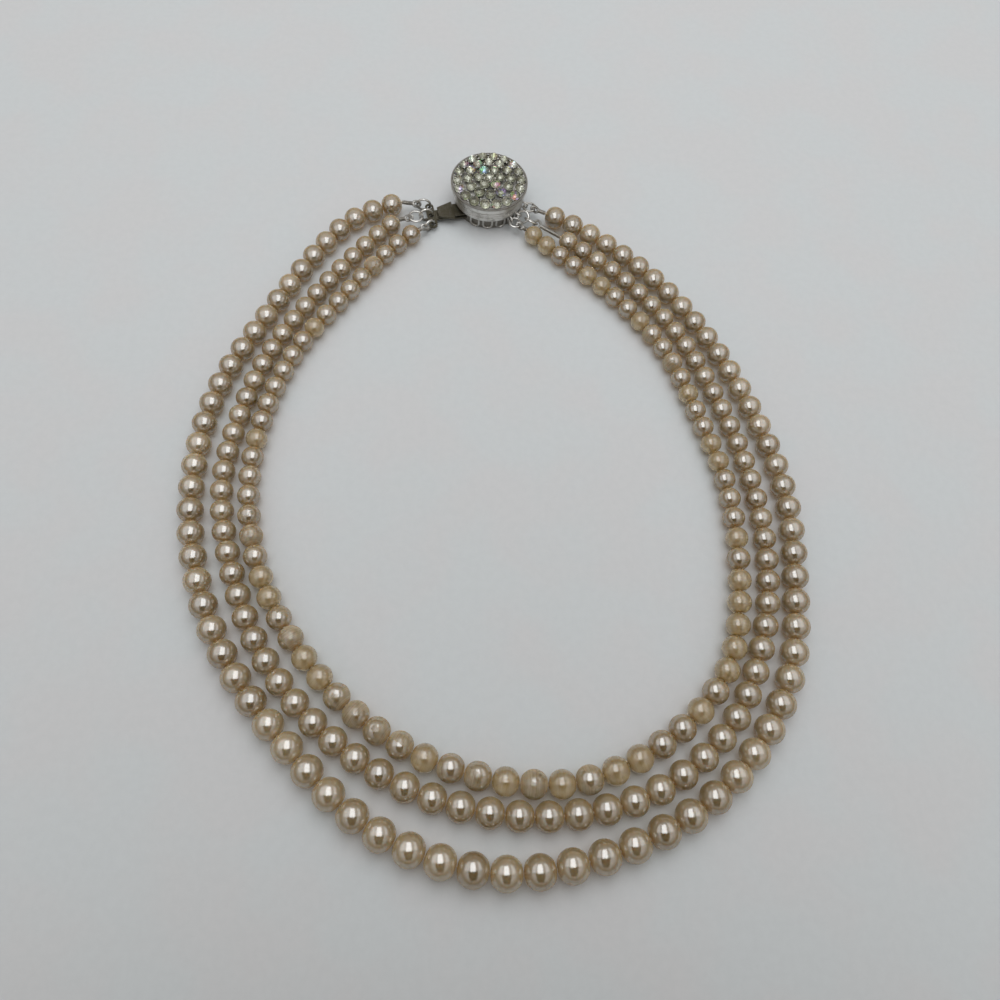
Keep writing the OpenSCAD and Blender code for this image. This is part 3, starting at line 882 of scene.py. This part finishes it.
def stone_bed(size):
    """The dish that the cups stand in, with a raised edge."""
    bpy.ops.mesh.primitive_cylinder_add(
        vertices=72, radius=bed_radius(size), depth=BED_EDGE,
        location=CLASP_MIDDLE + Vector((0, 0, BAND_TOP + BED_EDGE / 2 + 0.01 * MM)))
    bpy.ops.object.transform_apply(location=True, rotation=True, scale=True)
    bed = started("stone_bed")
    pick_faces(bed, lambda middle, normal: normal.z > 0.99)
    bpy.ops.mesh.inset(thickness=0.2 * MM)
    bpy.ops.mesh.extrude_region_move(
        TRANSFORM_OT_translate={"value": (0, 0, -0.62 * MM)})
    for inset, rise in ((1.8, 0.35), (2.2, 0.3), (2.4, 0.25), (2.4, 0.1)):
        bpy.ops.mesh.inset(thickness=inset * MM)
        bpy.ops.transform.translate(value=(0, 0, rise * MM))
    close_edit(bed, 35)
    return bed


def grain():
    """A small raised grain of metal, flat below."""
    bpy.ops.mesh.primitive_ico_sphere_add(subdivisions=2, radius=0.27 * MM)
    made = started("grain_blank", whole=True)
    bpy.ops.transform.resize(value=(1, 1, 1.25), center_override=(0, 0, 0))
    bpy.ops.mesh.bisect(plane_co=(0, 0, -0.2 * MM), plane_no=(0, 0, -1), use_fill=True,
                        clear_outer=True)
    close_edit(made, 50)
    return made


# ---------------------------------------------------------------- wire coils


def neck_of(node):
    """The middle of a coil's neck end and the way that the neck points."""
    areas = {}
    mesh = frame["nodes"][node].data
    for face in mesh.polygons:
        key = tuple(round(c, 2) for c in face.normal)
        areas.setdefault(key, []).append(face)
    flat = max(areas.values(), key=lambda faces: sum(f.area for f in faces))
    way = sum((f.normal * f.area for f in flat), Vector()).normalized()
    far = max(f.center.dot(way) for f in flat)
    ends = [f for f in flat if f.center.dot(way) > far - 0.05 * MM]
    total = sum(f.area for f in ends)
    return sum((f.center * f.area for f in ends), Vector()) / total, way


def coil_frame(node, wire):
    """The loop's middle, the neck's way, the loop's own axis and the neck's reach."""
    end, way = neck_of(node)
    points = [v.co - end for v in frame["nodes"][node].data.vertices]
    back = min(p.dot(way) for p in points)
    level = back + wire.loop_radius + wire.loop_width / 2
    middle = end + way * level
    across = Vector()
    for point in points:
        side = point - way * point.dot(way)
        if abs(point.dot(way) - level) < 0.3 * MM and side.length > across.length:
            across = side
    across.normalize()
    return middle, way, across.cross(way).normalized(), (end - middle).length


def coil_turn(width, wire):
    """One turn of fine wire, leaning by its pitch."""
    bpy.ops.mesh.primitive_torus_add(
        major_segments=12, minor_segments=4, major_radius=(width - wire.wire) / 2,
        minor_radius=wire.wire / 2, location=(0, 0, 0), rotation=(0, 0, 0))
    turn = started("turn_blank", whole=True)
    bpy.ops.transform.rotate(value=math.atan(wire.pitch / width), orient_axis="X",
                             center_override=(0, 0, 0))
    close_edit(turn, 80)
    return turn


def facing(way, middle):
    """A place at a point, with its Z along a direction."""
    return Matrix.Translation(middle) @ way.to_track_quat("Z", "Y").to_matrix().to_4x4()


def wire_coil(node, wire, material):
    """A coil of fine wire that stands for one coil node: its loop, then its neck."""
    middle, way, axis, reach = coil_frame(node, wire)
    side = axis.cross(way)
    turns = max(int(2 * math.pi * wire.loop_radius / wire.pitch), 12)
    loop_places = []
    for k in range(turns):
        angle = 2 * math.pi * k / turns
        out = way * math.cos(angle) + side * math.sin(angle)
        loop_places.append(facing(axis.cross(out), middle + out * wire.loop_radius))
    loop = repeat(coil_turn(wire.loop_width, wire), loop_places, node + "_loop")
    start = wire.loop_radius + wire.loop_width / 2 - wire.pitch
    count = max(int((reach - start - wire.wire / 2) / wire.pitch), 2)
    neck_places = [facing(way, middle + way * (reach - wire.wire / 2 - k * wire.pitch))
                   for k in range(count + 1)]
    neck = repeat(coil_turn(wire.neck_width, wire), neck_places, node + "_neck")
    only(loop, neck)
    bpy.ops.object.join()
    loop.name = loop.data.name = node.replace("_coil", "_gimp")
    dress(loop, material)
    belongs(loop, "coil_wire", node)


# ---------------------------------------------------------------- stage helpers


def area_light(name, width, height, place, aim, power, colour=(1, 1, 1), diffuse=True,
               glossy=True):
    """A soft rectangle of light that the camera doesn't see."""
    data = bpy.data.lights.new(name, "AREA")
    data.shape = "RECTANGLE"
    data.size, data.size_y = width, height
    data.energy = power
    data.color = colour
    light = new_object(name, data)
    light.location = place
    light.rotation_mode = "QUATERNION"
    light.rotation_quaternion = (Vector(aim) - Vector(place)).to_track_quat("-Z", "Y")
    light.visible_camera = False
    light.visible_diffuse = diffuse
    light.visible_glossy = glossy
    light.visible_transmission = glossy


def table_top(base):
    """The pale table, with faint blotches and a fine grain."""
    bpy.ops.mesh.primitive_plane_add(size=3.0, location=(0, 0, 0))
    table = started("table_top", whole=True)
    bpy.ops.mesh.subdivide(number_cuts=7)
    bpy.ops.transform.translate(value=(0, 0, -0.01 * MM))
    close_edit(table, 30)
    material, sheet, sockets, place = new_material("table_paper", roughness=0.8,
                                                   specular_ior_level=0.2)
    grain_field = sheet.noise(place, 520.0, 4.0, 0.65)
    blotch = sheet.noise(place, 45.0, 2.0)
    warm = (base[0] * 1.02, base[1] * 0.985, base[2] * 0.98)
    colour = sheet.tint(sheet.span(blotch, 0.35, 0.65), base, warm)
    colour = sheet.tint(sheet.span(grain_field, 0.3, 0.7, 0.0, 0.12), colour,
                        tuple(c * 0.8 for c in base))
    sheet.put(colour, sockets["Base Color"])
    bumped(sheet, sockets, grain_field, 0.05 * MM, 0.5)
    dress(table, material)


def pale_room(strength):
    """Light from all round, white above and warmer near the table."""
    world = bpy.data.worlds.new("pale_room")
    world.use_nodes = True
    bpy.context.scene.world = world
    air = Sheet(world.node_tree)
    height = air.upward(air.add("TexCoord").outputs["Generated"])
    shade = air.tint(air.span(height, 0.0, 0.9), (0.30, 0.235, 0.16), (1.0, 1.0, 1.0))
    background = world.node_tree.nodes["Background"]
    air.put(shade, background.inputs["Color"])
    background.inputs["Strength"].default_value = strength


def lamps(look):
    """One large soft light, and three windows that only the beads and the metal mirror."""
    area_light("soft_light", 0.8, 0.8, (0.06, 0.26, 0.8), (0, 0, 0), look.key, glossy=False)
    # The windows look straight down. Their aim is a hair off, to settle which way is length
    for name, width, length, across, height, share in (
            ("window_middle", 0.1, 0.2, -0.013, 0.155, 1.26),
            ("window_left", 0.115, 0.16, -0.113, 0.1, 0.34),
            ("window_right", 0.085, 0.16, 0.106, 0.1, 0.25)):
        area_light(name, width, length, (across, -0.003, height), (across, -0.0029, 0),
                   look.window * share, (0.95, 0.98, 1.0), diffuse=False)


def front_shade():
    """A dark card over the table's front, which the beads mirror under the windows."""
    bpy.ops.mesh.primitive_plane_add(size=1.0, location=(0, 0, 0))
    card = started("front_shade", whole=True)
    bpy.ops.transform.resize(value=(0.2, 0.31, 1), center_override=(0, 0, 0))
    bpy.ops.transform.translate(value=Vector((-15, -248, 165)) * MM)
    close_edit(card)
    cloth = new_material("shade_cloth", base_color=(0.09, 0.065, 0.04), roughness=0.9)[0]
    dress(card, cloth)
    card.visible_camera = False


def photo_camera():
    """The camera at the photograph's angle, above the near edge of the necklace."""
    heading, pitch, roll = (
        math.radians(turn) for turn in (CAMERA_HEADING, CAMERA_PITCH, CAMERA_ROLL))
    camera = new_object("photo_camera", bpy.data.cameras.new("photo_camera"))
    camera.data.lens = CAMERA_LENS
    camera.data.sensor_width = 36
    camera.data.clip_start = 0.005
    camera.matrix_world = (
        Matrix.Translation(CAMERA_PLACE) @ Matrix.Rotation(-heading, 4, "Z")
        @ Matrix.Rotation(math.pi / 2 - pitch, 4, "X") @ Matrix.Rotation(roll, 4, "Z"))
    bpy.context.scene.camera = camera


# ---------------------------------------------------------------- operators


class NECKLACE_OT_bead_strings(Operator):
    """Coat the outer and middle strings' beads and wear the inner string's down to glass"""

    bl_idname = "necklace.bead_strings"
    bl_label = "Bead strings"

    def execute(self, context):
        coat, glass = pearl_coat_material(), bare_glass_material()
        bead_string("outer_beads", "outer_string_beads", "pearl", scuffed_bead, coat)
        bead_string("middle_beads", "middle_string_beads", "pearl", scuffed_bead, coat)
        bead_string("inner_beads", "inner_string_beads", "worn_pearl", worn_inner_bead,
                    coat, glass)
        return {"FINISHED"}


class NECKLACE_OT_threads(Operator):
    """Give the three threads their silk"""

    bl_idname = "necklace.threads"
    bl_label = "Threads"

    def execute(self, context):
        silk = thread_material()
        for string in ("outer", "middle", "inner"):
            dress(frame["nodes"][string + "_thread"], silk)
        return {"FINISHED"}


class NECKLACE_OT_clasp_case(Operator):
    """Plate the clasp's case, with painted shade low down, round its rim and behind its loops,
    and tarnish in its grooves
    """

    bl_idname = "necklace.clasp_case"
    bl_label = "Clasp case"

    def execute(self, context):
        dress(frame["nodes"]["clasp_case"], plated_metal(
            "case_plating", rough=0.3, unshaded_above=2.0 * MM, fully_shaded_below=-2.0 * MM,
            patches=0.5, scratch_scale=240.0, grooved_and_shaded=True))
        return {"FINISHED"}


class NECKLACE_OT_stones(Operator):
    """Cut the stones, cup them in foil and set them on their domed bed"""

    bl_idname = "necklace.stones"
    bl_label = "Stones"

    def execute(self, context):
        size = context.scene.necklace_stones
        places = stone_places(size)
        glass, foil = stone_glass_material(), stone_foil_material()
        stone = cut_stone(size)
        back_with_foil(stone, size, glass, foil)
        cups = repeat(foil_cup(stone, size), places, "foil_cups")
        stones = repeat(stone, places, "stones")
        grains = repeat(grain(), grain_places(size), "setting_grains")
        bed = stone_bed(size)
        dress(cups, foil)
        dress(grains, plated_metal(
            "setting_metal", rough=0.24, unshaded_above=7.6 * MM, fully_shaded_below=7.0 * MM,
            patches=0.6, scratch_scale=400.0))
        # Painted shade in the dish's lower steps between the stones
        dress(bed, plated_metal(
            "bed_metal", rough=0.45, unshaded_above=7.6 * MM, fully_shaded_below=7.0 * MM,
            patches=0.5, scratch_scale=300.0))
        for piece, slot in ((stones, "stone"), (cups, "stone"), (grains, "case_metal"),
                            (bed, "case_metal")):
            belongs(piece, slot, "stone_field")
        return {"FINISHED"}


class NECKLACE_OT_tongue(Operator):
    """Give the folded spring leaf its dull brushed metal"""

    bl_idname = "necklace.tongue"
    bl_label = "Tongue"

    def execute(self, context):
        dress(frame["nodes"]["tongue"], plated_metal(
            "leaf_metal", rough=0.4, unshaded_above=1.0 * MM, fully_shaded_below=-1.0 * MM,
            patches=0.35, scratch_scale=380.0, base=context.scene.necklace_metal.leaf))
        return {"FINISHED"}


class NECKLACE_OT_rings(Operator):
    """Plate the jump rings between the clasp and the coils"""

    bl_idname = "necklace.rings"
    bl_label = "Jump rings"

    def execute(self, context):
        plating = plated_metal("ring_plating", rough=0.2, unshaded_above=2.5 * MM,
                               fully_shaded_below=0.2 * MM, patches=0.45, scratch_scale=500.0)
        rings = [n for n in frame["nodes"] if "_ring" in n]
        if not rings:
            raise RuntimeError("the packed model has no rings")
        for node in rings:
            dress(frame["nodes"][node], plating)
        return {"FINISHED"}


class NECKLACE_OT_wire_coils(Operator):
    """Wind the fine wire coils that hold the threads' ends"""

    bl_idname = "necklace.wire_coils"
    bl_label = "Wire coils"

    def execute(self, context):
        metal = plated_metal("coil_plating", rough=0.28, unshaded_above=3.5 * MM,
                             fully_shaded_below=1.0 * MM, patches=0.7, scratch_scale=500.0)
        for node in sorted(n for n in frame["nodes"] if n.endswith("_coil")):
            wire_coil(node, context.scene.necklace_coils, metal)
        return {"FINISHED"}


class NECKLACE_OT_stage(Operator):
    """Lay the table, hang the soft lights and put up the camera"""

    bl_idname = "necklace.stage"
    bl_label = "Stage"

    def execute(self, context):
        look = context.scene.necklace_stage
        table_top(tuple(look.table))
        pale_room(look.sky)
        lamps(look)
        front_shade()
        photo_camera()
        context.scene.view_settings.view_transform = "Standard"
        return {"FINISHED"}


class NECKLACE_PT_builder(Panel):
    """Lists the steps that dress the necklace"""

    bl_idname = "NECKLACE_PT_builder"
    bl_label = "Necklace"
    bl_space_type = "VIEW_3D"
    bl_region_type = "UI"
    bl_category = "Necklace"

    def draw(self, context):
        for step in STEPS:
            self.layout.operator(step.bl_idname, text=step.bl_label)
        for key, group in SETTINGS.items():
            box = self.layout.box()
            for name in group.__annotations__:
                box.prop(getattr(context.scene, key), name)


STEPS = (
    NECKLACE_OT_bead_strings,
    NECKLACE_OT_threads,
    NECKLACE_OT_clasp_case,
    NECKLACE_OT_stones,
    NECKLACE_OT_tongue,
    NECKLACE_OT_rings,
    NECKLACE_OT_wire_coils,
    NECKLACE_OT_stage,
)
SETTINGS = {
    "necklace_beads": BeadFinish,
    "necklace_stones": StoneCut,
    "necklace_coils": CoilWire,
    "necklace_metal": MetalFinish,
    "necklace_stage": StageLook,
}


def register():
    for made in (*SETTINGS.values(), *STEPS, NECKLACE_PT_builder):
        bpy.utils.register_class(made)
    for key, group in SETTINGS.items():
        setattr(bpy.types.Scene, key, PointerProperty(type=group))


def unregister():
    for key in SETTINGS:
        delattr(bpy.types.Scene, key)
    for made in reversed((*SETTINGS.values(), *STEPS, NECKLACE_PT_builder)):
        bpy.utils.unregister_class(made)


def main():
    register()
    for step in STEPS:
        group, name = step.bl_idname.split(".")
        getattr(getattr(bpy.ops, group), name)()
    only()


if __name__ == "__main__":
    main()
